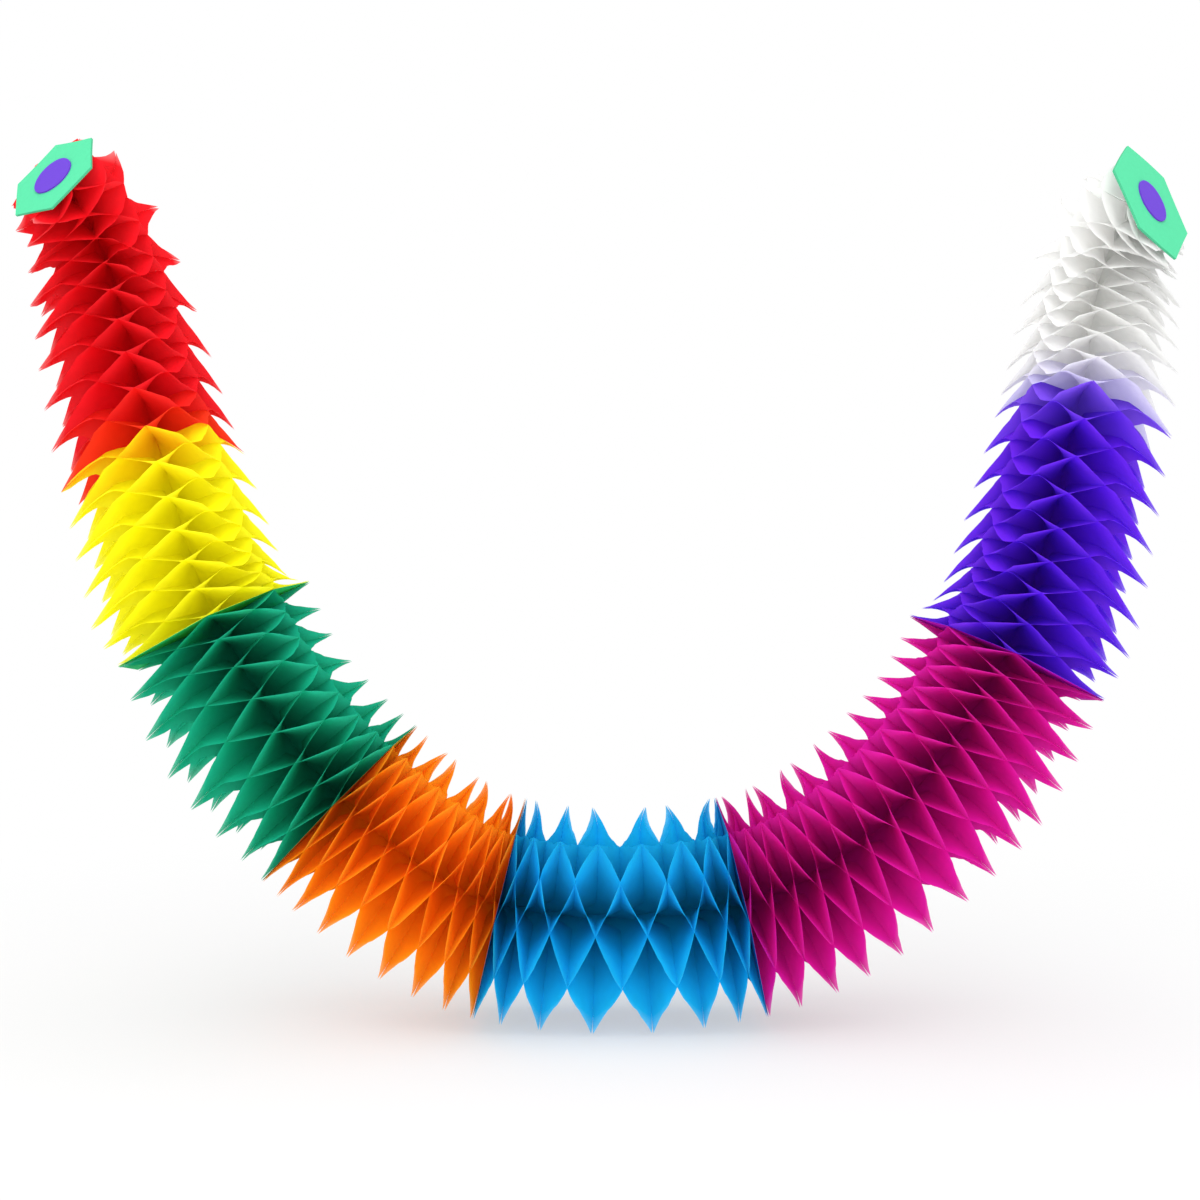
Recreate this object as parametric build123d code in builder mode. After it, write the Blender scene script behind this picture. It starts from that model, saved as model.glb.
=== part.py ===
"""Honeycomb paper garland: eight blocks of folded tissue on one hanging curve, a card on each end."""

import os
from collections import namedtuple
from math import cos, pi, radians, sin

from build123d import *

# Driving dimensions, in millimetres and degrees. The origin is the middle of the left dot's outer
# face, where the garland is stuck or pinned up. X runs to the right, Y away from the viewer, Z up.

# The garland hangs as a U this wide between its ends and this deep. It hangs in one upright plane,
# and its two ends curl forward out of it.
SPAN = 720.0
DROP = 485.0
CURL_DEPTH = 40.0
RIGHT_END_BACK = 2.0
RIGHT_END_DROP = 17.5
CORNER_RADIUS = 81.0

TISSUE_THICKNESS = 0.5
CARD_THICKNESS = 1.5
DOT_THICKNESS = 1.0
DOT_DIAMETER = 30.0
LEFT_CARD_RADIUS = 36.0
LEFT_CARD_TURN = 20.0
RIGHT_CARD_RADIUS = 42.0
RIGHT_CARD_TURN = 18.0

# Each sheet has glue lines all round, counted from the front towards the outside of the U. Every
# other line ends in a corner of the sheet, and the lines between them end in a waist. The tables
# tell how far each line reaches, as a share of the corner radius: in the level bottom of the U, and
# in its steep arms, where the stretched sheets are narrower between the pointed corners.
GLUE_LINES = 12
LEVEL_REACH = (0.82, 0.87, 1, 0.60, 1, 0.87, 1, 0.87, 1, 0.60, 0.79, 0.87)
STEEP_REACH = (0.86, 0.71, 1, 0.58, 1, 0.71, 1, 0.71, 1, 0.58, 0.64, 0.71)
STEEP_RANGE = (0.65, 0.92)

# The sideways corners of a steep stretch droop by a share of the corner's radius. The droop starts
# at a share of that radius, and fades out towards a flat end sheet.
DROOP_SHARE = 0.36
DROOP_START = 0.45
DROOP_POWER = 1.5
DROOP_FADE = 3.5
SIDEWAYS_RANGE = (0.5, 0.75)
UPWARD_RANGE = (0.3, 0.6)

# Beside a card the sheets widen quickly: the power of the share of the block's length
CARD_SWELL = 0.4

TOWARD_VIEWER = Vector(0, -1, 0)

# A joint is a place where two colours meet, or an end: where it is, where the curve heads there,
# the radius of a sheet's corner, and how far the first corner is turned from the viewer.
Joint = namedtuple("Joint", "point heading corner_radius turn")


def joint(across, down, run, fall, fullness, turn):
    """A joint on the hanging curve. Its place and heading are in shares of the span and the drop."""
    point = Vector(across * SPAN, CURL_DEPTH, -down * DROP)
    heading = Vector(run * SPAN, 0, -fall * DROP).normalized()
    return Joint(point, heading, fullness * CORNER_RADIUS, turn)


def end_joint(point, heading, fullness, turn):
    """An end of the garland, with the direction that its card is stuck at."""
    return Joint(point, heading.normalized(), fullness * CORNER_RADIUS, turn)


LEFT_HEADING = Vector(0.45, 0.74, -0.51).normalized()
LEFT_POINT = LEFT_HEADING * (DOT_THICKNESS + CARD_THICKNESS)
RIGHT_HEADING = Vector(0.64, -0.69, 0.34)
RIGHT_POINT = Vector(SPAN, RIGHT_END_BACK, -RIGHT_END_DROP)

LEFT_END = end_joint(LEFT_POINT, LEFT_HEADING, 0.44, -10)
RED_YELLOW = joint(0.079, 0.350, 0.230, 0.973, 0.845, -10)
YELLOW_GREEN = joint(0.137, 0.605, 0.339, 0.941, 0.95, -9)
GREEN_ORANGE = joint(0.255, 0.855, 0.575, 0.818, 0.98, -5)
ORANGE_BLUE = joint(0.404, 1.002, 0.945, 0.328, 0.985, 0)
BLUE_MAGENTA = joint(0.632, 1.000, 0.953, -0.304, 0.975, 0)
MAGENTA_PURPLE = joint(0.880, 0.653, 0.322, -0.947, 0.94, -8)
PURPLE_WHITE = joint(0.953, 0.286, 0.171, -0.985, 0.78, -9)
RIGHT_END = end_joint(RIGHT_POINT, RIGHT_HEADING, 0.49, -9)

# How long the curve holds its heading beside a joint, as a share of the block's chord. Beside an end
# it curls quickly, so that the rest of the arm hangs straight.
EVEN_HOLD = 1 / 3
CURL_HOLD = 0.36
HANG_HOLD = 0.33

# A block of one colour: its sheets in pairs, its two joints, whether each end is closed by a flat
# sheet, which the next block or the card is stuck to, how long it holds each heading, and how much
# its sheets crowd towards a closed end. An open end runs on into the next colour.
Block = namedtuple("Block", "name pairs start end closed_start closed_end start_hold end_hold crowding")

BLOCKS = [
    Block("red_section", 8, LEFT_END, RED_YELLOW, True, False, CURL_HOLD, HANG_HOLD, 0.03),
    Block("yellow_section", 6, RED_YELLOW, YELLOW_GREEN, False, True, EVEN_HOLD, EVEN_HOLD, 0.03),
    Block("green_section", 7, YELLOW_GREEN, GREEN_ORANGE, True, True, EVEN_HOLD, EVEN_HOLD, 0.04),
    Block("orange_section", 8, GREEN_ORANGE, ORANGE_BLUE, True, True, EVEN_HOLD, EVEN_HOLD, 0.04),
    Block("blue_section", 7, ORANGE_BLUE, BLUE_MAGENTA, True, True, EVEN_HOLD, EVEN_HOLD, 0.07),
    Block("magenta_section", 13, BLUE_MAGENTA, MAGENTA_PURPLE, True, True, EVEN_HOLD, EVEN_HOLD, 0.03),
    Block("purple_section", 8, MAGENTA_PURPLE, PURPLE_WHITE, True, False, EVEN_HOLD, EVEN_HOLD, 0.03),
    Block("white_section", 8, PURPLE_WHITE, RIGHT_END, False, True, HANG_HOLD, CURL_HOLD, 0.03),
]

# The middle of the garland at one place, and the end of each glue line there
Station = namedtuple("Station", "centre rim along")


def between(first, last, share):
    """The value at a share of the way from the first to the last."""
    return first + (last - first) * share


def rim_direction(along, turn):
    """The direction that is turned this far from the viewer, round the garland's own curve."""
    front = (TOWARD_VIEWER - along * along.dot(TOWARD_VIEWER)).normalized()
    outward = along.cross(front)
    return front * cos(radians(turn)) + outward * sin(radians(turn))


def ramp(value, low, high):
    """A straight rise from 0 at low to 1 at high."""
    return min(max((value - low) / (high - low), 0), 1)


def block_axis(block):
    """The middle line of a block, from the inner face of one end sheet to that of the other."""
    start = block.start.point + block.start.heading * (TISSUE_THICKNESS * block.closed_start)
    end = block.end.point - block.end.heading * (TISSUE_THICKNESS * block.closed_end)
    chord = (end - start).length
    hold = start + block.start.heading * (block.start_hold * chord)
    release = end - block.end.heading * (block.end_hold * chord)
    return Bezier(start, hold, release, end)


def station_share(block, number):
    """The share of a block's length at a glue station. Stations crowd towards a closed end."""
    share = number / (2 * block.pairs)
    if block.closed_start and block.closed_end:
        return share - block.crowding * sin(2 * pi * share)
    toward_start = 1 if block.closed_start else -1
    return share - toward_start * block.crowding * sin(pi * share)


def widening(block, share):
    """The share of the way from a block's first corner radius to its last one."""
    if block.start is LEFT_END:
        return share**CARD_SWELL
    if block.end is RIGHT_END:
        return 1 - (1 - share) ** CARD_SWELL
    return share


def corner_droop(block, share, steep, outward):
    """How far a corner that points outward hangs down, as a share of its radius."""
    fade = 1
    if block.closed_start:
        fade = min(fade, DROOP_FADE * share)
    if block.closed_end:
        fade = min(fade, DROOP_FADE * (1 - share))
    sideways = ramp(abs(outward.X), *SIDEWAYS_RANGE) * (1 - ramp(outward.Z, *UPWARD_RANGE))
    return DROOP_SHARE * fade * steep * sideways


def station(block, axis, number):
    """The middle and the ends of the glue lines at one glue station of a block."""
    share = station_share(block, number)
    centre = axis @ share
    along = axis % share
    corner_radius = between(block.start.corner_radius, block.end.corner_radius, widening(block, share))
    first_turn = between(block.start.turn, block.end.turn, share)
    steep = ramp(abs(along.Z), *STEEP_RANGE)
    rim = []
    for line in range(GLUE_LINES):
        outward = rim_direction(along, first_turn + line * 360 / GLUE_LINES)
        reach = between(LEVEL_REACH[line], STEEP_REACH[line], steep)
        hang = ramp(reach, DROOP_START, 1) ** DROOP_POWER * corner_droop(block, share, steep, outward)
        rim.append(centre + (outward * reach + Vector(0, 0, -hang)) * corner_radius)
    return Station(centre, rim, along)


def facet(*corners):
    """A flat face with these corners."""
    return Face(Wire.make_polygon(corners))


def folded_sheet(lower, upper, order):
    """One sheet, stuck to the sheet below on every other glue line and to the sheet above between them."""
    rise = (lower.along + upper.along).normalized() * TISSUE_THICKNESS
    middle = (lower.centre + upper.centre - rise) / 2
    rim = []
    for line in range(GLUE_LINES):
        stuck_below = (line + order) % 2 == 0
        rim.append(lower.rim[line] if stuck_below else upper.rim[line] - rise)
    faces = []
    for here, there in zip(rim, rim[1:] + rim[:1]):
        faces.append(facet(middle, there, here))
        faces.append(facet(middle + rise, here + rise, there + rise))
        faces.append(facet(here, there, there + rise, here + rise))
    return Solid(Shell(faces))


def tissue_block(block):
    """All the sheets of one colour: the folded ones, and a flat one at each closed end."""
    axis = block_axis(block)
    sheets = 2 * block.pairs
    stations = [station(block, axis, number) for number in range(sheets + 1)]
    with BuildPart() as tissue:
        add([folded_sheet(stations[order], stations[order + 1], order) for order in range(sheets)])
        if block.closed_start:
            extrude(facet(*stations[0].rim[::2]), amount=TISSUE_THICKNESS, dir=-stations[0].along)
        if block.closed_end:
            extrude(facet(*stations[-1].rim[::2]), amount=TISSUE_THICKNESS, dir=stations[-1].along)
    tissue.part.label = block.name
    return tissue


def end_plane(end, outward, turn):
    """The plane of an end of the garland, facing out, with one corner of its card along the X."""
    return Plane(end.point, x_dir=rim_direction(end.heading, turn), z_dir=outward)


def end_card(name, plane, radius):
    """The hexagon of card that closes an end."""
    with BuildPart() as card:
        with BuildSketch(plane):
            RegularPolygon(radius, GLUE_LINES // 2)
        extrude(amount=CARD_THICKNESS)
    card.part.label = name
    return card


def end_dot(name, plane):
    """The round sticker in the middle of a card."""
    with BuildPart() as dot:
        with BuildSketch(plane.offset(CARD_THICKNESS)):
            Circle(DOT_DIAMETER / 2)
        extrude(amount=DOT_THICKNESS)
    dot.part.label = name
    return dot


left_plane = end_plane(LEFT_END, -LEFT_END.heading, LEFT_CARD_TURN)
right_plane = end_plane(RIGHT_END, RIGHT_END.heading, RIGHT_CARD_TURN)

pieces = [tissue_block(block) for block in BLOCKS]
pieces.append(end_card("left_end_card", left_plane, LEFT_CARD_RADIUS))
pieces.append(end_card("right_end_card", right_plane, RIGHT_CARD_RADIUS))
pieces.append(end_dot("left_end_dot", left_plane))
pieces.append(end_dot("right_end_dot", right_plane))

os.makedirs("parts", exist_ok=True)
for piece in pieces:
    export_step(piece.part, f"parts/{piece.part.label}.step")
    print(piece.part.label, len(piece.part.solids()), "solids", round(piece.part.volume), "mm3")
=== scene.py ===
# %% [markdown]
# # A honeycomb paper garland
#
# The real garland is a long stack of thin tissue sheets. Each sheet is glued to the one below it on
# every other radial line, and to the one above it on the lines between. Pulled out, the stack opens
# into diamond cells. In this lesson every sheet is modelled as one thin folded surface, so that the
# cells are real openings that light falls into.

# %% Load the frame
import math
from collections import namedtuple

import bpy
import numpy as np
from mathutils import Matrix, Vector


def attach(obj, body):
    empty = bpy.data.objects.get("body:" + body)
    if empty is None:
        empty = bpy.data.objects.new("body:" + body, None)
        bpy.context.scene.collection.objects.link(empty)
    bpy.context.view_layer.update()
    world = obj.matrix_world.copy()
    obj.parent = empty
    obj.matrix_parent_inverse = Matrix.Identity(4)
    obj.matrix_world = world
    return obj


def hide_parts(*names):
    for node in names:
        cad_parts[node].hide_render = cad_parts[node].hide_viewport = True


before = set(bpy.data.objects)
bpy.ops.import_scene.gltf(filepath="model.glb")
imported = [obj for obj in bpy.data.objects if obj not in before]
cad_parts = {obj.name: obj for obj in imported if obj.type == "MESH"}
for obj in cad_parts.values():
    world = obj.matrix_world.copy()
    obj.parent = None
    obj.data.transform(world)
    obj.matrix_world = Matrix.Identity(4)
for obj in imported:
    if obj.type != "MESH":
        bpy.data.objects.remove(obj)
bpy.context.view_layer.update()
MM = 0.001

# %% [markdown]
# ## The curve it hangs on
#
# The garland hangs as a U in one upright plane, and both ends curl forward so that the end cards show.
# A joint is a place where two colours meet. It holds a point and a heading, so each block's middle
# line is one Bezier curve. A spline through all joints at once would be shorter to write, but then one
# joint could not be moved without bending its neighbours. All sizes here are in millimetres.

# %% The joints between the colours
SPAN = 720.0
DROP = 485.0
CURL_DEPTH = 40.0
CORNER_RADIUS = 81.0
CARD_THICKNESS = 1.5
DOT_THICKNESS = 1.0
Joint = namedtuple("Joint", "point heading corner_radius turn")


def unit(vector):
    """The same direction, one unit long."""
    return np.array(vector) / np.linalg.norm(vector)


def joint(across, down, run, fall, fullness, turn):
    """A joint on the hanging curve. Its place and heading are in shares of the span and the drop."""
    point = np.array((across * SPAN, CURL_DEPTH, -down * DROP))
    return Joint(point, unit((run * SPAN, 0, -fall * DROP)), fullness * CORNER_RADIUS, turn)


def end_joint(point, heading, fullness, turn):
    """An end of the garland, in millimetres, with the direction that its card is stuck at."""
    return Joint(np.array(point), unit(heading), fullness * CORNER_RADIUS, turn)


LEFT_HEADING = unit((0.45, 0.74, -0.51))
LEFT_POINT = LEFT_HEADING * (CARD_THICKNESS + DOT_THICKNESS)
RIGHT_POINT = (SPAN, 2.0, -17.5)
LEFT_END = end_joint(LEFT_POINT, LEFT_HEADING, 0.44, -10)
RED_YELLOW = joint(0.079, 0.350, 0.230, 0.973, 0.845, -10)
YELLOW_GREEN = joint(0.137, 0.605, 0.339, 0.941, 0.95, -9)
GREEN_ORANGE = joint(0.255, 0.855, 0.575, 0.818, 0.98, -5)
ORANGE_BLUE = joint(0.404, 1.002, 0.945, 0.328, 0.985, 0)
BLUE_MAGENTA = joint(0.632, 1.000, 0.953, -0.304, 0.975, 0)
MAGENTA_PURPLE = joint(0.880, 0.653, 0.322, -0.947, 0.94, -8)
PURPLE_WHITE = joint(0.953, 0.286, 0.171, -0.985, 0.78, -9)
RIGHT_END = end_joint(RIGHT_POINT, (0.64, -0.69, 0.34), 0.49, -9)
print("joints from", np.round(LEFT_END.point, 1), "to", np.round(RIGHT_END.point, 1), "mm")

# %% The blocks of one colour between them
EVEN_HOLD = 1 / 3
CURL_HOLD = 0.36
HANG_HOLD = 0.33
Block = namedtuple(
    "Block", "colour pairs start end closed_start closed_end start_hold end_hold crowding"
)
BLOCKS = [
    Block("red", 8, LEFT_END, RED_YELLOW, True, False, CURL_HOLD, HANG_HOLD, 0.03),
    Block("yellow", 6, RED_YELLOW, YELLOW_GREEN, False, True, EVEN_HOLD, EVEN_HOLD, 0.03),
    Block("green", 7, YELLOW_GREEN, GREEN_ORANGE, True, True, EVEN_HOLD, EVEN_HOLD, 0.04),
    Block("orange", 8, GREEN_ORANGE, ORANGE_BLUE, True, True, EVEN_HOLD, EVEN_HOLD, 0.04),
    Block("blue", 7, ORANGE_BLUE, BLUE_MAGENTA, True, True, EVEN_HOLD, EVEN_HOLD, 0.07),
    Block("magenta", 13, BLUE_MAGENTA, MAGENTA_PURPLE, True, True, EVEN_HOLD, EVEN_HOLD, 0.03),
    Block("purple", 8, MAGENTA_PURPLE, PURPLE_WHITE, True, False, EVEN_HOLD, EVEN_HOLD, 0.03),
    Block("white", 8, PURPLE_WHITE, RIGHT_END, False, True, HANG_HOLD, CURL_HOLD, 0.03),
]
print(len(BLOCKS), "blocks,", sum(2 * block.pairs for block in BLOCKS), "folded sheets")

# %% The middle line of a block, with a direction to the viewer and one to the outside of the U
END_SHEET = 0.5
AXIS_SAMPLES = 241
STRAIGHT_ON = 60.0
TOWARD_VIEWER = np.array((0.0, -1.0, 0.0))
Axis = namedtuple("Axis", "length run centre along front outward")


def bezier(start, hold, release, end):
    """Points on a Bezier curve, and its direction at each of them."""
    t = np.linspace(0, 1, AXIS_SAMPLES)[:, None]
    s = 1 - t
    points = s**3 * start + 3 * s**2 * t * hold + 3 * s * t**2 * release + t**3 * end
    along = s**2 * (hold - start) + 2 * s * t * (release - hold) + t**2 * (end - release)
    return points, along / np.linalg.norm(along, axis=1, keepdims=True)


def block_axis(block):
    """Samples of a block's middle line, carried on straight past both ends."""
    start = block.start.point + block.start.heading * (END_SHEET * block.closed_start)
    end = block.end.point - block.end.heading * (END_SHEET * block.closed_end)
    chord = np.linalg.norm(end - start)
    hold = start + block.start.heading * block.start_hold * chord
    release = end - block.end.heading * block.end_hold * chord
    centre, along = bezier(start, hold, release, end)
    steps = np.linalg.norm(np.diff(centre, axis=0), axis=1)
    run = np.concatenate(([0.0], np.cumsum(steps)))
    length = run[-1]
    run = np.concatenate(([-STRAIGHT_ON], run, [length + STRAIGHT_ON]))
    centre = np.vstack((start - along[0] * STRAIGHT_ON, centre, end + along[-1] * STRAIGHT_ON))
    along = np.vstack((along[0], along, along[-1]))
    front = TOWARD_VIEWER - along * (along @ TOWARD_VIEWER)[:, None]
    front /= np.linalg.norm(front, axis=1, keepdims=True)
    return Axis(length, run, centre, along, front, np.cross(along, front))


AXES = {block.colour: block_axis(block) for block in BLOCKS}
print("curve length", round(sum(axis.length for axis in AXES.values())), "mm")

# %% Places round the middle line
def along_axis(axis, samples, distance):
    """One of the axis's sampled vectors at each distance along it."""
    return np.stack([np.interp(distance, axis.run, samples[:, k]) for k in range(3)], axis=-1)


def place(axis, distance, radius, angle):
    """Points at a distance along the axis, a radius from it and an angle round it from the viewer."""
    centre = along_axis(axis, axis.centre, distance)
    front = along_axis(axis, axis.front, distance)
    outward = along_axis(axis, axis.outward, distance)
    spoke = np.cos(angle)[..., None] * front + np.sin(angle)[..., None] * outward
    return centre + radius[..., None] * spoke


for block in BLOCKS:
    halfway = along_axis(AXES[block.colour], AXES[block.colour].centre, AXES[block.colour].length / 2)
    print(block.colour, "has its middle at", np.round(halfway), "mm")

# %% [markdown]
# ## The cut of a tissue sheet
#
# A sheet is a star with six pointed corners. Its glue lines run out to the corners and to the waists
# between them. The outline could be drawn as a curve and filled, but the fill would have no order. A
# polar grid of points has rings and columns, so that a column can follow each glue line. In the steep
# arms the sheets show narrower waists than at the bottom of the U, so there are two sets of reaches.

# %% The cut edge of a sheet
GLUE_LINES = 12
CORNERS = GLUE_LINES // 2
COLUMNS_PER_LINE = 8
COLUMNS = GLUE_LINES * COLUMNS_PER_LINE
LINE_OF_COLUMN = np.arange(COLUMNS) / COLUMNS_PER_LINE
ANGLE_OF_COLUMN = np.arange(COLUMNS) / COLUMNS * 2 * np.pi
RING_SHARES = np.array((0.06, 0.12, 0.2, 0.3, 0.42, 0.54, 0.65, 0.75, 0.83, 0.9, 0.95, 1.0))
RINGS = len(RING_SHARES)
LEVEL_REACH = np.array((0.82, 0.87, 1, 0.60, 1, 0.87, 1, 0.87, 1, 0.60, 0.79, 0.87))
STEEP_REACH = np.array((0.86, 0.71, 1, 0.58, 1, 0.71, 1, 0.71, 1, 0.58, 0.64, 0.71))
POINT_SHARPNESS = 2.1
LOBE_HEIGHT = 0.015
RAGGED_EDGE = 0.004
RAGGED_RISE = 3


def line_reach(line, steep):
    """How far a glue line reaches out, as a share of the corner's radius."""
    return LEVEL_REACH[line] + (STEEP_REACH - LEVEL_REACH)[line] * steep


def cut_edge(steep, rng):
    """The edge's radius at each column, as a share of the corner's radius. The points stay clean."""
    from_corner = 1 - np.abs(LINE_OF_COLUMN % 2 - 1)
    corner_line = 2 * np.round(LINE_OF_COLUMN / 2).astype(int) % GLUE_LINES
    waist_line = 2 * (LINE_OF_COLUMN // 2).astype(int) + 1
    corner = line_reach(corner_line, steep)
    waist = line_reach(waist_line, steep)
    edge = waist + (corner - waist) * (1 - from_corner) ** POINT_SHARPNESS
    edge += LOBE_HEIGHT * np.clip(np.sin(2 * np.pi * (from_corner - 0.5)), 0, 1)
    edge += RAGGED_EDGE * rng.normal(size=COLUMNS) * np.minimum(1, RAGGED_RISE * from_corner)
    return edge


print("edge from", round(cut_edge(0, np.random.default_rng(1)).min(), 3), "to 1 of the corner radius")

# %% [markdown]
# ## Where the sheets stand
#
# Two sheets that are glued on the same lines make a pair, and the pairs stand one behind the other on
# the curve. They could be spread evenly. On the real garland they crowd where a block is stuck to the
# next one, and beside a card the sheets are drawn together and widen quickly, so both are modelled.

# %% Stations along a block, and the size and turn of the sheets there
CARD_SWELL = 0.4


def station_share(block, number):
    """The share of a block's length at a glue station. Stations crowd towards a closed end."""
    share = number / (2 * block.pairs)
    if block.closed_start and block.closed_end:
        return share - block.crowding * math.sin(2 * math.pi * share)
    toward_start = 1 if block.closed_start else -1
    return share - toward_start * block.crowding * math.sin(math.pi * share)


def corner_radius(block, share):
    """The corner's radius at each share of a block's length. Beside a card the sheets widen quickly."""
    widening = np.clip(share, 0, 1)
    if block.start is LEFT_END:
        widening = widening**CARD_SWELL
    if block.end is RIGHT_END:
        widening = 1 - (1 - widening) ** CARD_SWELL
    return block.start.corner_radius + (block.end.corner_radius - block.start.corner_radius) * widening


def first_turn(block, share):
    """How far the first corner is turned from the viewer at each share of a block, in radians."""
    return np.radians(block.start.turn + (block.end.turn - block.start.turn) * np.clip(share, 0, 1))


for block in BLOCKS:
    radii = [round(float(corner_radius(block, share)), 1) for share in (0, 0.5, 1)]
    print(block.colour, "corner radius", radii, "mm")

# %% [markdown]
# ## The fold
#
# Each point of a sheet is lifted or lowered along the curve by a wave round the sheet, so that the
# sheet touches its two neighbours on alternate lines. A cloth simulation could fold it too, but a wave
# keeps every cell as regular as the real one. The middle of a sheet sags a little, as tissue does.

# %% The wave of a sheet and the sag of its middle
FOLD_STRAIGHTNESS = 0.93
FOLD_START = 0.03
DISH_DEPTH = 1.3
END_DISHES = (0.45, 1.35)
DISH_WIDTH = 0.16


def smooth(x):
    """A soft step from 0 to 1."""
    x = np.clip(x, 0, 1)
    return x * x * (3 - 2 * x)


def fold_wave(order):
    """How far each column is lifted, from -1 on the lines stuck below to 1 on those stuck above."""
    from_below = 1 - np.abs((LINE_OF_COLUMN + order) % 2 - 1)
    straight = 2 * from_below - 1
    rounded = -np.cos(np.pi * from_below)
    return FOLD_STRAIGHTNESS * straight + (1 - FOLD_STRAIGHTNESS) * rounded


def dish_depth(block, order, pitch):
    """How far the middle of a sheet sags downhill along the axis. It stops at a closed end."""
    downhill = block.end.point[2] < block.start.point[2]
    closed = block.closed_end if downhill else block.closed_start
    room = 2 * block.pairs - 1 - order if downhill else order
    depth = END_DISHES[room] if closed and room < len(END_DISHES) else DISH_DEPTH
    return depth * pitch if downhill else -depth * pitch


print("fold wave:", np.round(fold_wave(0)[:COLUMNS_PER_LINE + 1], 2))

# %% [markdown]
# ## The corners
#
# The pointed corners are not stiff. In the steep arms those at the sides hang down, and those that
# stand up behind the rim curl to either side. Bones could bend them one by one. Here a rule does it,
# from the direction that a corner points in, so that all of them follow the curve when it is changed.

# %% How the corners hang
LEVEL_BELOW = 0.65
STEEP_ABOVE = 0.92
DROOP_SHARE = 0.36
DROOP_START = 0.5
DROOP_POWER = 1.3
DROOP_FADE = 3.5
DROOP_SIDEWAYS = (0.5, 0.75)
DROOP_UPWARD = (0.3, 0.6)


def ramp(value, low, high):
    """A straight rise from 0 at low to 1 at high."""
    return np.clip((value - low) / (high - low), 0, 1)


def steepness(axis, distance):
    """How steeply the garland hangs, from 0 at the bottom of the U to 1 in its arms."""
    return ramp(np.abs(along_axis(axis, axis.along, distance)[..., 2]), LEVEL_BELOW, STEEP_ABOVE)


def corner_droop(block, axis, distance, outward):
    """How far each point would hang at the corner's radius: most at the sides, none on a flat end."""
    share = np.clip(distance / axis.length, 0, 1)
    fade = np.ones_like(share)
    if block.closed_start:
        fade = np.minimum(fade, DROOP_FADE * share)
    if block.closed_end:
        fade = np.minimum(fade, DROOP_FADE * (1 - share))
    upward = ramp(outward[..., 2], *DROOP_UPWARD)
    sideways = ramp(np.abs(outward[..., 0]), *DROOP_SIDEWAYS) * (1 - upward)
    return DROOP_SHARE * corner_radius(block, share) * fade * steepness(axis, distance) * sideways


print("a corner hangs down by up to", round(DROOP_SHARE * CORNER_RADIUS), "mm")

# %% How the corners lean
CORNER_BEND = 1.0
UPRIGHT_FROM = 0.5
UPRIGHT_CURL = 18.0
CURL_SPREAD = 0.4


def corner_bends(block, axis, rng):
    """How far each corner of each glued pair leans along the axis at its tip. Flat ends stay flat."""
    bends = np.empty((block.pairs + 1, CORNERS))
    for station in range(block.pairs + 1):
        share = station_share(block, 2 * station)
        angle = first_turn(block, share) + np.radians(np.arange(CORNERS) * 360 / CORNERS)
        distance = np.full(CORNERS, share * axis.length)
        tips = place(axis, distance, np.ones(CORNERS), angle)
        outward = tips - along_axis(axis, axis.centre, distance)
        upright = np.clip(outward[:, 2] - UPRIGHT_FROM, 0, 1) * (outward[:, 1] > 0)
        side = 1 if station % 2 == 0 else -1
        curl = UPRIGHT_CURL * upright * side * (1 + CURL_SPREAD * rng.normal(size=CORNERS))
        bends[station] = CORNER_BEND * rng.normal(size=CORNERS) + curl
    if block.closed_start:
        bends[0] = 0
    if block.closed_end:
        bends[-1] = 0
    return bends


print("an upright corner curls by about", UPRIGHT_CURL * (1 - UPRIGHT_FROM), "mm at most")

# %% The points of one sheet
BEND_START = 0.72
BEND_POWER = 2
CORNER_SPLIT = 0.5
SPLIT_POWER = 6
Sheet = namedtuple("Sheet", "points reach")


def sheet_points(block, axis, order, bends, rng):
    """The points of one folded sheet: its middle, then its rings from the middle out."""
    low = station_share(block, order) * axis.length
    high = station_share(block, order + 1) * axis.length
    halfway = (low + high) / 2
    pitch = high - low
    wave = fold_wave(order)
    reach = RING_SHARES[:, None] * cut_edge(steepness(axis, halfway + wave * pitch / 2), rng)
    distance = halfway + smooth(reach / FOLD_START) * wave * pitch / 2
    radius = reach * corner_radius(block, distance / axis.length)
    angle = first_turn(block, distance / axis.length) + ANGLE_OF_COLUMN
    flat_place = place(axis, distance, radius, angle)
    outward = (flat_place - along_axis(axis, axis.centre, distance)) / radius[..., None]
    hang = ramp(reach, DROOP_START, 1) ** DROOP_POWER
    drop = corner_droop(block, axis, distance, outward) * hang
    tip_reach = ramp(reach, BEND_START, 1)
    lean = np.roll(np.repeat(bends[(order + 1) // 2], 2 * COLUMNS_PER_LINE), -COLUMNS_PER_LINE)
    split = CORNER_SPLIT if order % 2 == 0 else -CORNER_SPLIT
    dish = dish_depth(block, order, pitch)
    distance = distance + dish * (1 - smooth(reach / DISH_WIDTH))
    distance = distance + lean * tip_reach**BEND_POWER + split * tip_reach**SPLIT_POWER
    points = place(axis, distance, radius, angle)
    points[..., 2] -= drop
    middle = along_axis(axis, axis.centre, halfway + dish)
    return Sheet(np.concatenate((middle[None, :], points.reshape(-1, 3))), np.append(0, reach))


print("points in a sheet:", 1 + RINGS * COLUMNS)

# %% [markdown]
# ## A block of one colour
#
# All sheets of a block go into one mesh. Tissue is a fiftieth of a millimetre thick, so a sheet is a
# single surface: with two sides it would also stop the light that should come through. A flat hexagon
# closes a block where the next colour is stuck on face to face. Where the colour only changes from one
# sheet to the next, there is no flat sheet, and the cells run on.

# %% The faces of a sheet, and the flat sheet on a closed end
FLAT_STANDS_OUT = 0.35
# the flat sheet's reach stays under 1, so it gets painted shade in its middle and no pale painted
# points at its rim
FLAT_PAINTED_LIGHT_REACH = 0.85
LINE_ANGLE = math.radians(360 / GLUE_LINES)
CORNER_ANGLE = math.radians(360 / CORNERS)


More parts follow.
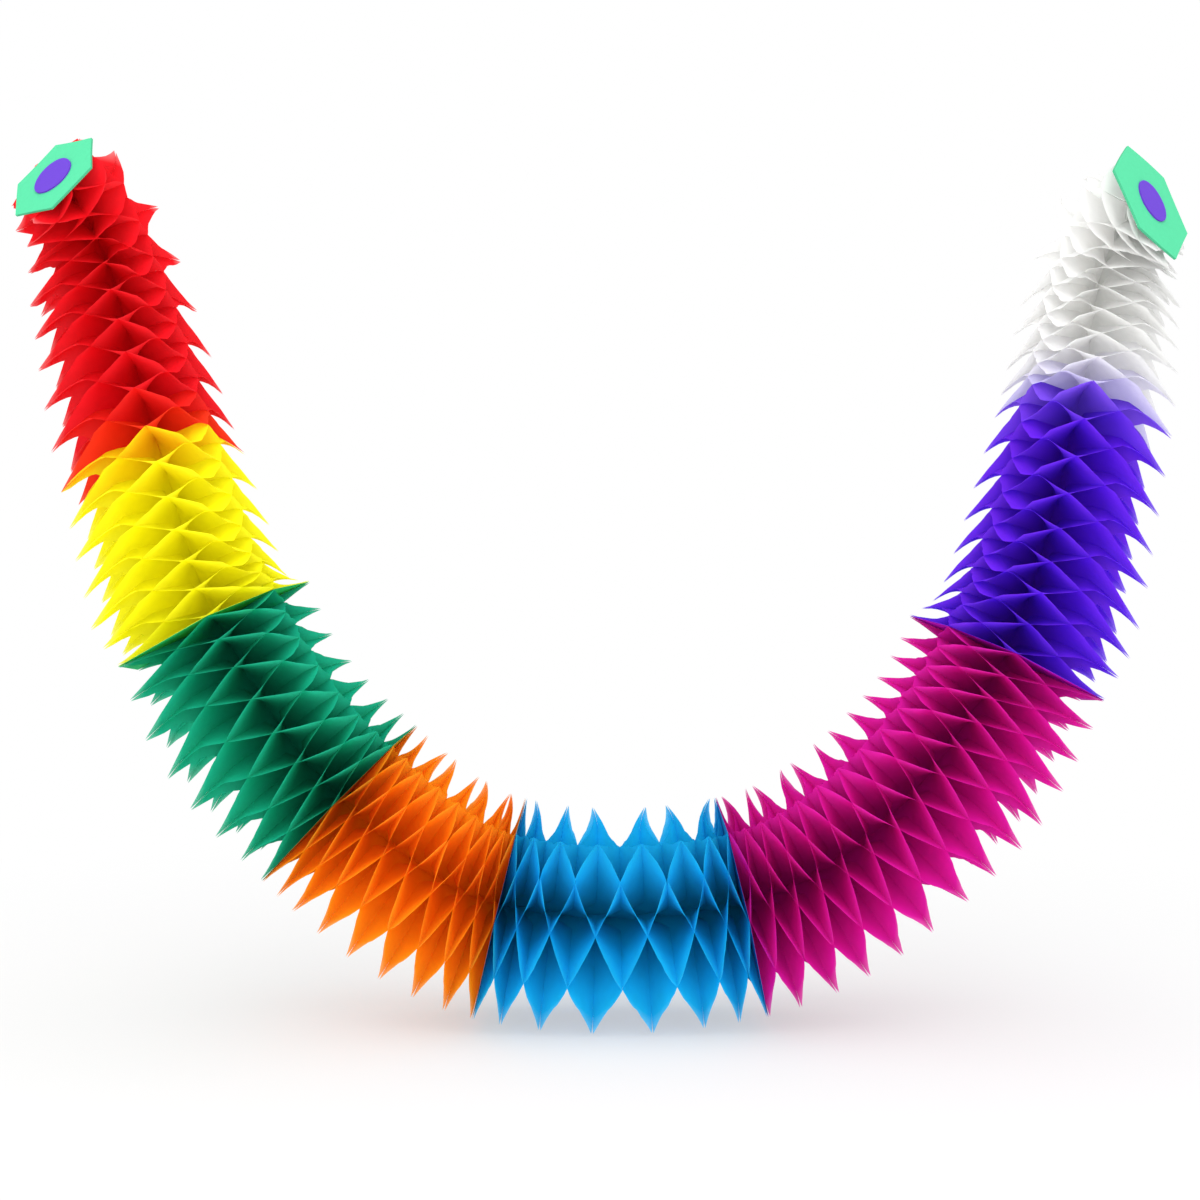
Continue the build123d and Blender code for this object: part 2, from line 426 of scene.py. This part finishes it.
def grid_faces(first):
    """The faces of one polar grid whose middle is vertex number first."""
    faces = []
    for column in range(COLUMNS):
        following = (column + 1) % COLUMNS
        faces.append((first, first + 1 + column, first + 1 + following))
        for ring in range(RINGS - 1):
            inner = first + 1 + ring * COLUMNS
            outer = inner + COLUMNS
            faces.append((inner + column, outer + column, outer + following, inner + following))
    return faces


def flat_hexagon(block, axis, at_end):
    """The points of the flat sheet that closes one end of a block."""
    joint_here = block.end if at_end else block.start
    at = axis.length if at_end else 0.0
    corners = line_reach(np.arange(0, GLUE_LINES, 2), steepness(axis, np.array(at)))
    before = corners[(LINE_OF_COLUMN // 2).astype(int)]
    after = corners[(LINE_OF_COLUMN // 2 + 1).astype(int) % CORNERS]
    from_before = LINE_ANGLE * (LINE_OF_COLUMN % 2)
    slant = before * np.sin(from_before) + after * np.sin(CORNER_ANGLE - from_before)
    edge = joint_here.corner_radius * before * after * math.sin(CORNER_ANGLE) / slant
    radius = RING_SHARES[:, None] * edge
    distance = np.full((RINGS, COLUMNS), at)
    angle = np.broadcast_to(np.radians(joint_here.turn) + ANGLE_OF_COLUMN, (RINGS, COLUMNS))
    points = place(axis, distance, radius, angle)
    middle = along_axis(axis, axis.centre, distance[0, 0])
    outward = joint_here.heading * (FLAT_STANDS_OUT if at_end else -FLAT_STANDS_OUT)
    reach = np.append(0, FLAT_PAINTED_LIGHT_REACH * RING_SHARES[:, None] * np.ones(COLUMNS))
    return Sheet(np.concatenate((middle[None, :], points.reshape(-1, 3))) + outward, reach)


print("faces in a sheet:", len(grid_faces(0)))

# %% Creases, and the sheets with the next colour painted on them as light coming through
PAINTED_THROUGH_SHARES = (0.5, 0.2)


def sharpen_folds(mesh, points_per_sheet):
    """Mark the edges on the glue lines as sharp, so that a fold is a crease and not a soft bend."""
    ends = np.empty(2 * len(mesh.edges), dtype=np.int32)
    mesh.edges.foreach_get("vertices", ends)
    on_sheet = ends.reshape(-1, 2) % points_per_sheet
    column = (on_sheet - 1) % COLUMNS
    column = np.where(on_sheet == 0, column[:, ::-1], column)
    on_line = (column[:, 0] == column[:, 1]) & (column[:, 0] % COLUMNS_PER_LINE == 0)
    sharp = mesh.attributes.new("sharp_edge", "BOOLEAN", "EDGE")
    sharp.data.foreach_set("value", on_line)


def painted_through_share(block, order):
    """How much painted light of the next colour shows through a sheet: some on the last ones before an
    open end.
    """
    if block.closed_start and block.closed_end:
        return 0.0
    from_joint = 2 * block.pairs - 1 - order if block.closed_start else order
    return PAINTED_THROUGH_SHARES[from_joint] if 0 <= from_joint < len(PAINTED_THROUGH_SHARES) else 0.0


for block in BLOCKS:
    print(block.colour, "tinted sheets:", sum(painted_through_share(block, k) > 0 for k in range(2 * block.pairs)))

# %% The tissue blocks
TISSUE_SEED = 20


def mark_points(mesh, name, values):
    """Give each point of a mesh a number that its material can read."""
    numbers = mesh.attributes.new(name, "FLOAT", "POINT")
    numbers.data.foreach_set("value", np.concatenate(values).astype(np.float32))


def block_sheets(block, seed):
    """All the sheets of a block, the folded ones first."""
    rng = np.random.default_rng(seed)
    axis = AXES[block.colour]
    bends = corner_bends(block, axis, rng)
    sheets = [sheet_points(block, axis, order, bends, rng) for order in range(2 * block.pairs)]
    if block.closed_start:
        sheets.append(flat_hexagon(block, axis, False))
    if block.closed_end:
        sheets.append(flat_hexagon(block, axis, True))
    return sheets


def tissue_block(block, seed):
    """One mesh object with all the sheets of a colour."""
    sheets = block_sheets(block, seed)
    per_sheet = len(sheets[0].points)
    faces = []
    for number in range(len(sheets)):
        faces += grid_faces(number * per_sheet)
    mesh = bpy.data.meshes.new(f"{block.colour}_tissue_sheets")
    mesh.from_pydata(np.concatenate([sheet.points for sheet in sheets]) * MM, [], faces)
    # how much painted light of the next colour each sheet gets
    through_share_per_sheet = [np.full(per_sheet, painted_through_share(block, order)) for order in range(len(sheets))]
    # the reach also tells the material where to paint shade and light
    mark_points(mesh, "reach", [sheet.reach for sheet in sheets])
    mark_points(mesh, "painted_through_share", through_share_per_sheet)
    mesh.shade_smooth()
    sharpen_folds(mesh, per_sheet)
    tissue = bpy.data.objects.new(f"{block.colour}_tissue_sheets", mesh)
    bpy.context.collection.objects.link(tissue)
    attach(tissue, "root")
    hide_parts(f"{block.colour}_section")
    return tissue


tissues = {}
for number, block in enumerate(BLOCKS):
    tissues[block.colour] = tissue_block(block, TISSUE_SEED + number)
    print(block.colour, "block:", len(tissues[block.colour].data.polygons), "faces")

# %% [markdown]
# ## Tissue paper
#
# Tissue is thin enough to glow where light falls on it from behind. A diffuse shader alone would make
# the points look like card, so a Translucent shader is mixed in. A noise gives the sheet its clouds,
# and a finer one its fibres, as a slight bump. The mesh tells the material how far out a point lies,
# and painted light is laid on from that: painted shade deep in the cells, and paler points that stand
# in for light coming through the single sheet there. White gets a painted brightening deep in the
# cells instead, and greyer points of painted shade.

# %% The dyes, and the painted shade and light laid on them
TISSUE_COLOURS = {
    "red": (0.88, 0.003, 0.013),
    "yellow": (0.985, 0.95, 0.003),
    "green": (0.003, 0.53, 0.315),
    "orange": (1.0, 0.40, 0.001),
    "blue": (0.001, 0.57, 0.92),
    "magenta": (0.81, 0.003, 0.46),
    "purple": (0.19, 0.018, 0.86),
    "white": (0.90, 0.90, 0.89),
}
# painted light: the next colour, mixed into the last sheets before an open end as if its light came
# through them
PAINTED_THROUGH_COLOURS = {
    "red": (0.88, 0.07, 0.004),
    "yellow": (0.96, 0.70, 0.006),
    "purple": (0.30, 0.16, 0.80),
    "white": (0.62, 0.56, 0.90),
}
# painted light: the points are paler, standing in for light through the single sheet there; white's
# points are greyer instead, a painted shade
POINT_PAINTED_LIGHT = 0.24
WHITE_POINTS_PAINTED_SHADE = (0.78, 0.78, 0.77)
# painted shade: the colour darkens towards the middle of the sheet, deep in the cells, by these shares
# of the dye; white is painted brighter there
PAINTED_SHADE_STOPS = ((0.12, 0.0), (0.40, 0.45), (0.60, 0.85), (0.72, 1.0), (0.86, 1.0))
PAINTED_CELL_SHADE = {"white": 1.1, "yellow": 1.0, "orange": 1.0, "red": 0.9, "magenta": 0.75, "purple": 0.7}
USUAL_PAINTED_CELL_SHADE = 0.55
print(len(TISSUE_COLOURS), "dyes,", len(PAINTED_THROUGH_COLOURS), "of them with the next colour showing through")

# %% Small helpers for materials
def new_material(name):
    """A new material with its nodes and links."""
    material = bpy.data.materials.new(name)
    material.use_nodes = True
    return material, material.node_tree.nodes, material.node_tree.links


def paler(rgb, share):
    """A colour mixed with a share of white."""
    return [value + (1 - value) * share for value in rgb]


def mesh_number(nodes, name):
    """The number of that name that the mesh holds for each point or face."""
    number = nodes.new("ShaderNodeAttribute")
    number.attribute_name = name
    return number.outputs["Fac"]


def fixed_noise(nodes, links, scale, detail):
    """A noise between 0 and 1 that is fixed to the piece."""
    place_on = nodes.new("ShaderNodeTexCoord")
    noise = nodes.new("ShaderNodeTexNoise")
    noise.inputs["Scale"].default_value = scale
    noise.inputs["Detail"].default_value = detail
    links.new(place_on.outputs["Object"], noise.inputs["Vector"])
    return noise.outputs["Fac"]


def raised(nodes, links, height, strength, distance):
    """The direction of a surface that small heights make uneven."""
    bump = nodes.new("ShaderNodeBump")
    bump.inputs["Strength"].default_value = strength
    bump.inputs["Distance"].default_value = distance
    links.new(height, bump.inputs["Height"])
    return bump.outputs["Normal"]


def mixed(nodes, links, share, first, second):
    """A colour that goes from the first to the second as the share rises. The first may be a socket."""
    mix = nodes.new("ShaderNodeMix")
    mix.data_type = "RGBA"
    links.new(share, mix.inputs["Factor"])
    if isinstance(first, bpy.types.NodeSocket):
        links.new(first, mix.inputs["A"])
    else:
        mix.inputs["A"].default_value = (*first, 1)
    mix.inputs["B"].default_value = (*second, 1)
    return mix.outputs["Result"]


print("material helpers ready")

# %% The paint of a sheet: its clouds, and its painted shade and light
CLOUD_SCALE = 60.0
CLOUD_DETAIL = 5.0
CLOUD_RANGE = (0.3, 0.7)
CLOUD_SHADE = 0.91


def dye_and_painted_light(nodes, links, clouds, colour, rgb):
    """A cloudy dye with painted light: shade deep in the cells and pale points, for white the other way
    round.
    """
    # painted shade towards the middle of the sheet, and painted light at the points
    cell_shade = PAINTED_CELL_SHADE.get(colour, USUAL_PAINTED_CELL_SHADE)
    points = WHITE_POINTS_PAINTED_SHADE if colour == "white" else paler(rgb, POINT_PAINTED_LIGHT)
    depth = nodes.new("ShaderNodeValToRGB")
    stops = depth.color_ramp.elements
    stops[0].position, stops[0].color = 0.0, (*[cell_shade * value for value in rgb], 1)
    stops[1].position, stops[1].color = 1.0, (*points, 1)
    for position, share in PAINTED_SHADE_STOPS:
        stop = stops.new(position)
        stop.color = (*[(cell_shade + (1 - cell_shade) * share) * value for value in rgb], 1)
    links.new(mesh_number(nodes, "reach"), depth.inputs["Fac"])
    mottle = nodes.new("ShaderNodeMapRange")
    mottle.inputs["From Min"].default_value = CLOUD_RANGE[0]
    mottle.inputs["From Max"].default_value = CLOUD_RANGE[1]
    mottle.inputs["To Min"].default_value = CLOUD_SHADE
    links.new(clouds, mottle.inputs["Value"])
    shade = nodes.new("ShaderNodeVectorMath")
    shade.operation = "SCALE"
    links.new(depth.outputs["Color"], shade.inputs[0])
    links.new(mottle.outputs["Result"], shade.inputs["Scale"])
    return shade.outputs["Vector"]


def painted_lit_through(nodes, links, colour, paint):
    """The same paint, mixed with the next colour as painted light coming through the sheets near an
    open end.
    """
    if colour not in PAINTED_THROUGH_COLOURS:
        return paint
    return mixed(nodes, links, mesh_number(nodes, "painted_through_share"), paint, PAINTED_THROUGH_COLOURS[colour])


print("clouds darken the dye by up to", round(100 * (1 - CLOUD_SHADE)), "%")

# %% The tissue materials
TISSUE_ROUGHNESS = 0.75
TISSUE_GLOSS = 0.15
THROUGH_LIGHT = 0.55
THROUGH_PALENESS = 0.03
FIBRE_SCALE = 900.0
FIBRE_DETAIL = 3.0
FIBRE_STRENGTH = 0.15
FIBRE_HEIGHT = 0.0004


def tissue_material(colour, rgb):
    """Matt tissue of one colour, part of whose light comes through from behind."""
    material, nodes, links = new_material(f"{colour} tissue")
    front = nodes["Principled BSDF"]
    front.inputs["Roughness"].default_value = TISSUE_ROUGHNESS
    front.inputs["Specular IOR Level"].default_value = TISSUE_GLOSS
    through = nodes.new("ShaderNodeBsdfTranslucent")
    sheet = nodes.new("ShaderNodeMixShader")
    sheet.inputs["Fac"].default_value = THROUGH_LIGHT
    links.new(front.outputs["BSDF"], sheet.inputs[1])
    links.new(through.outputs["BSDF"], sheet.inputs[2])
    links.new(sheet.outputs["Shader"], nodes["Material Output"].inputs["Surface"])
    clouds = fixed_noise(nodes, links, CLOUD_SCALE, CLOUD_DETAIL)
    # both paints carry the painted shade in the cells and the painted light at the points and by an
    # open end
    front_paint = dye_and_painted_light(nodes, links, clouds, colour, rgb)
    through_paint = dye_and_painted_light(nodes, links, clouds, colour, paler(rgb, THROUGH_PALENESS))
    links.new(painted_lit_through(nodes, links, colour, front_paint), front.inputs["Base Color"])
    links.new(painted_lit_through(nodes, links, colour, through_paint), through.inputs["Color"])
    fibres = fixed_noise(nodes, links, FIBRE_SCALE, FIBRE_DETAIL)
    uneven = raised(nodes, links, fibres, FIBRE_STRENGTH, FIBRE_HEIGHT)
    links.new(uneven, front.inputs["Normal"])
    links.new(uneven, through.inputs["Normal"])
    return material


for colour, rgb in TISSUE_COLOURS.items():
    tissues[colour].data.materials.append(tissue_material(colour, rgb))
print("tissue finishes:", ", ".join(TISSUE_COLOURS))

# %% [markdown]
# ## The cards and their dots
#
# A hexagon of mint card closes each end, with a purple paper dot stuck on it. Cylinders of six and of
# many sides would do, but both were cut by hand, so their outlines are a little uneven and are drawn
# point by point. The cut edge is painted darker than the face on the card, as painted shade, and nearly
# in the dot's own colour on the dot. A number on each face of the mesh marks it.

# %% Hand-cut outlines
CARD_SIDE_POINTS = 12
UNEVEN_CARD = 0.012
CARD_LIMITS = (-1.5, 1)
UNEVEN_ANGLE = 1.2
UNEVEN_SIDE = 0.5
DOT_POINTS = 72
DOT_WAVES = (2, 3, 4, 5, 7)
UNEVEN_DOT = 0.03
DOT_LIMITS = (-1.5, 1.0)


def card_outline(radius, rng):
    """The outline of a hand-cut hexagon, as points in its own plane."""
    corners = radius * (1 + UNEVEN_CARD * rng.normal(size=CORNERS).clip(*CARD_LIMITS))
    angles = np.radians(360 / CORNERS * np.arange(CORNERS) + UNEVEN_ANGLE * rng.normal(size=CORNERS))
    points = np.stack((corners * np.cos(angles), corners * np.sin(angles)), axis=-1)
    shares = np.arange(CARD_SIDE_POINTS)[:, None] / CARD_SIDE_POINTS
    sides = []
    for here, there in zip(points, np.roll(points, -1, axis=0)):
        bow = UNEVEN_SIDE * rng.normal() * np.sin(np.pi * shares)
        outward = unit(here + there)
        sides.append(here + (there - here) * shares + outward * bow)
    return np.concatenate(sides)


def dot_outline(radius, rng):
    """The outline of a hand-cut dot: a circle with a few uneven waves."""
    angles = np.arange(DOT_POINTS) / DOT_POINTS * 2 * np.pi
    waves = sum(rng.normal() / k * np.cos(k * angles + rng.uniform(0, 6)) for k in DOT_WAVES)
    radii = radius * (1 + UNEVEN_DOT * waves.clip(*DOT_LIMITS))
    return np.stack((radii * np.cos(angles), radii * np.sin(angles)), axis=-1)


print("points round a card:", CORNERS * CARD_SIDE_POINTS, "and round a dot:", DOT_POINTS)

# %% Flat plates at the ends
End = namedtuple("End", "name joint side card_radius turn")
ENDS = [End("left", LEFT_END, -1, 36.0, 20.0), End("right", RIGHT_END, 1, 42.0, 18.0)]


def cut_plate(name, end, outline, low, high):
    """A flat piece of a cut outline, between two heights over the plane of an end."""
    heading = end.joint.heading
    front = unit(TOWARD_VIEWER - heading * (heading @ TOWARD_VIEWER))
    sideways = np.cross(heading, front)
    turn = math.radians(end.turn)
    first = front * math.cos(turn) + sideways * math.sin(turn)
    facing = heading * end.side
    second = np.cross(facing, first)
    flat = end.joint.point + outline[:, :1] * first + outline[:, 1:] * second
    count = len(outline)
    points = np.concatenate((flat + facing * low, flat + facing * high)) * MM
    faces = [tuple(range(count))[::-1], tuple(range(count, 2 * count))]
    for here in range(count):
        there = (here + 1) % count
        faces.append((here, there, count + there, count + here))
    mesh = bpy.data.meshes.new(name)
    mesh.from_pydata(points, [], faces)
    # cut_side marks the edge faces, which the material paints in the edge colour, a painted shade on
    # the card
    cut_side = mesh.attributes.new("cut_side", "FLOAT", "FACE")
    cut_side.data.foreach_set("value", np.array([0.0, 0.0] + [1.0] * count, dtype=np.float32))
    plate = bpy.data.objects.new(name, mesh)
    bpy.context.collection.objects.link(plate)
    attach(plate, "root")
    return plate


print("ends:", ", ".join(end.name for end in ENDS))

# %% Card and paper
GRAIN_SCALE = 350.0
GRAIN_DETAIL = 4.0
GRAIN_SHADE = 0.9
GRAIN_STRENGTH = 0.1
GRAIN_HEIGHT = 0.0003
PAPER_GLOSS = 0.2
MINT = (0.060, 0.47, 0.24)
# painted shade on the card's cut edge
MINT_EDGE_PAINTED_SHADE = (0.045, 0.33, 0.17)
CARD_ROUGHNESS = 0.8
DOT_PURPLE = (0.095, 0.028, 0.42)
DOT_EDGE = (0.10, 0.03, 0.4)
DOT_ROUGHNESS = 0.7


def paper_material(name, rgb, edge_rgb, roughness):
    """Matt coloured paper or card whose cut edge is painted in another colour, on the card a darker
    painted shade.
    """
    material, nodes, links = new_material(name)
    surface = nodes["Principled BSDF"]
    surface.inputs["Roughness"].default_value = roughness
    surface.inputs["Specular IOR Level"].default_value = PAPER_GLOSS
    grain = fixed_noise(nodes, links, GRAIN_SCALE, GRAIN_DETAIL)
    face = mixed(nodes, links, grain, [GRAIN_SHADE * value for value in rgb], rgb)
    paint = mixed(nodes, links, mesh_number(nodes, "cut_side"), face, edge_rgb)
    links.new(paint, surface.inputs["Base Color"])
    uneven = raised(nodes, links, grain, GRAIN_STRENGTH, GRAIN_HEIGHT)
    links.new(uneven, surface.inputs["Normal"])
    return material


mint_card = paper_material("mint card", MINT, MINT_EDGE_PAINTED_SHADE, CARD_ROUGHNESS)
purple_paper = paper_material("purple paper", DOT_PURPLE, DOT_EDGE, DOT_ROUGHNESS)
print("finishes:", mint_card.name, "and", purple_paper.name)

# %% Cards and dots
DOT_RADIUS = 15.0
CARD_SEED = 40
for number, end in enumerate(ENDS):
    rng = np.random.default_rng(CARD_SEED + number)
    card = cut_plate(f"{end.name}_card", end, card_outline(end.card_radius, rng), 0, CARD_THICKNESS)
    card.data.materials.append(mint_card)
    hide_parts(f"{end.name}_end_card")
    top = CARD_THICKNESS + DOT_THICKNESS
    dot = cut_plate(f"{end.name}_dot", end, dot_outline(DOT_RADIUS, rng), CARD_THICKNESS, top)
    dot.data.materials.append(purple_paper)
    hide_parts(f"{end.name}_end_dot")
    print(end.name, "card and dot")

# %% [markdown]
# ## The floor
#
# The garland just clears a white floor, which takes its soft shadow. A plain white floor would turn
# grey in the distance, so it fades to pure white there for the rays that show it to the viewer. Those
# rays also see a greyer floor with more glow of its own, which keeps the shadow light. To the light
# that bounces up to the garland the floor stays plain white paper.

# %% The floor
GARLAND_MIDDLE = (0.359, 0.04, -0.3)
FLOOR_CLEARANCE = 0.002
FLOOR_RADIUS = 8
FLOOR_SIDES = 96
floor_height = min(tissue.bound_box[0][2] for tissue in tissues.values()) - FLOOR_CLEARANCE
floor_place = (*GARLAND_MIDDLE[:2], floor_height)
bpy.ops.mesh.primitive_circle_add(
    vertices=FLOOR_SIDES, radius=FLOOR_RADIUS, fill_type="NGON", location=floor_place
)
floor = bpy.context.object
floor.name = "studio_floor"
print("floor at", round(floor_height, 4), "m")

# %% The floor's white
FLOOR_WHITE = 0.9
FLOOR_GLOW = 0.12
SEEN_WHITE = 0.3
SEEN_GLOW = 0.5
SHADOW_REACH = (0.3, 0.9)


def seen_ray(nodes, links):
    """A socket that is 1 for the rays that show a thing to the viewer, also in gloss or glass."""
    path = nodes.new("ShaderNodeLightPath")
    seen = path.outputs["Is Camera Ray"]
    for kind in ("Is Glossy Ray", "Is Transmission Ray"):
        either = nodes.new("ShaderNodeMath")
        either.operation = "MAXIMUM"
        links.new(seen, either.inputs[0])
        links.new(path.outputs[kind], either.inputs[1])
        seen = either.outputs[0]
    return seen


def near_floor(nodes, links, seen):
    """White paint with some glow, both with other values for the rays that show it."""
    paint = nodes["Principled BSDF"]
    paint.inputs["Roughness"].default_value = 1.0
    paint.inputs["Specular IOR Level"].default_value = 0.0
    white = mixed(nodes, links, seen, [FLOOR_WHITE] * 3, [SEEN_WHITE] * 3)
    links.new(white, paint.inputs["Base Color"])
    strength = nodes.new("ShaderNodeMapRange")
    strength.inputs["To Min"].default_value = FLOOR_GLOW
    strength.inputs["To Max"].default_value = SEEN_GLOW
    links.new(seen, strength.inputs["Value"])
    glow = nodes.new("ShaderNodeEmission")
    links.new(strength.outputs["Result"], glow.inputs["Strength"])
    both = nodes.new("ShaderNodeAddShader")
    links.new(paint.outputs["BSDF"], both.inputs[0])
    links.new(glow.outputs["Emission"], both.inputs[1])
    return both.outputs["Shader"]


def far_share(nodes, links):
    """A socket that rises from 0 to 1 as the floor goes away from the garland."""
    spot = nodes.new("ShaderNodeTexCoord")
    away = nodes.new("ShaderNodeVectorMath")
    away.operation = "LENGTH"
    links.new(spot.outputs["Object"], away.inputs[0])
    fade = nodes.new("ShaderNodeMapRange")
    fade.interpolation_type = "SMOOTHSTEP"
    fade.inputs["From Min"].default_value = SHADOW_REACH[0]
    fade.inputs["From Max"].default_value = SHADOW_REACH[1]
    links.new(away.outputs["Value"], fade.inputs["Value"])
    return fade.outputs["Result"]


floor_white, nodes, links = new_material("white floor")
seen = seen_ray(nodes, links)
far_seen = nodes.new("ShaderNodeMath")
far_seen.operation = "MULTIPLY"
links.new(far_share(nodes, links), far_seen.inputs[0])
links.new(seen, far_seen.inputs[1])
distant = nodes.new("ShaderNodeEmission")
distant.inputs["Strength"].default_value = 1.0
blend = nodes.new("ShaderNodeMixShader")
links.new(far_seen.outputs[0], blend.inputs["Fac"])
links.new(near_floor(nodes, links, seen), blend.inputs[1])
links.new(distant.outputs["Emission"], blend.inputs[2])
links.new(blend.outputs["Shader"], nodes["Material Output"].inputs["Surface"])
floor.data.materials.append(floor_white)
print("floor fades to white between", *SHADOW_REACH, "m from its middle")

# %% [markdown]
# ## World and lamps
#
# Most of the light is soft and comes from all round, as in a white photo tent, so the world lights the
# garland. One sun would be simpler, but its hard shadows would fill the cells. Three large lamps add a
# little direction: from the front, from above, and low on the floor's level for the underside.

# %% The white world
SKY_LIGHT = 1.3
world = bpy.data.worlds.new("white studio")
bpy.context.scene.world = world
world.use_nodes = True
nodes, links = world.node_tree.nodes, world.node_tree.links
lit = nodes["Background"]
shown = nodes.new("ShaderNodeBackground")
for sky, level in ((lit, SKY_LIGHT), (shown, 1.0)):
    sky.inputs["Color"].default_value = (1, 1, 1, 1)
    sky.inputs["Strength"].default_value = level
choose = nodes.new("ShaderNodeMixShader")
links.new(seen_ray(nodes, links), choose.inputs["Fac"])
links.new(lit.outputs["Background"], choose.inputs[1])
links.new(shown.outputs["Background"], choose.inputs[2])
links.new(choose.outputs["Shader"], nodes["World Output"].inputs["Surface"])
print("world light", SKY_LIGHT)

# %% Three soft lamps
Lamp = namedtuple("Lamp", "name location target size power")
LAMPS = [
    Lamp("key lamp", (0.36, -1.7, 1.0), GARLAND_MIDDLE, 1.8, 24),
    Lamp("top lamp", (0.36, -0.2, 1.5), GARLAND_MIDDLE, 1.6, 11),
    Lamp("low lamp", (0.33, -1.5, -0.5), (0.33, 0.04, -0.45), 1.0, 11),
]


def soft_lamp(plan):
    """A large square lamp at a place, aimed at a point."""
    lamp = bpy.data.lights.new(plan.name, "AREA")
    lamp.size = plan.size
    lamp.energy = plan.power
    holder = bpy.data.objects.new(plan.name, lamp)
    bpy.context.collection.objects.link(holder)
    holder.location = plan.location
    aim = Vector(np.array(plan.target) - np.array(plan.location))
    holder.rotation_euler = aim.to_track_quat("-Z", "Y").to_euler()
    return holder


for plan in LAMPS:
    print(soft_lamp(plan).name, "of", plan.power, "W")

# %% [markdown]
# ## The camera
#
# The garland is seen straight on, from about a metre away. The focal length could be set by eye. It is
# worked out here from the width of the picture and its focal length in pixels.

# %% The camera
IMAGE_WIDTH = 1200
FOCAL_PIXELS = 1500
SENSOR = 36.0
CAMERA_PLACE = (0.359, -0.983, -0.2785)
camera = bpy.data.cameras.new("camera")
camera.sensor_width = SENSOR
camera.lens = SENSOR * FOCAL_PIXELS / IMAGE_WIDTH
viewer = bpy.data.objects.new("camera", camera)
bpy.context.collection.objects.link(viewer)
viewer.location = CAMERA_PLACE
viewer.rotation_euler = (math.radians(90), 0, 0)
bpy.context.scene.camera = viewer
bpy.context.scene.view_settings.view_transform = "Standard"
print("camera at", tuple(round(v, 3) for v in viewer.location))
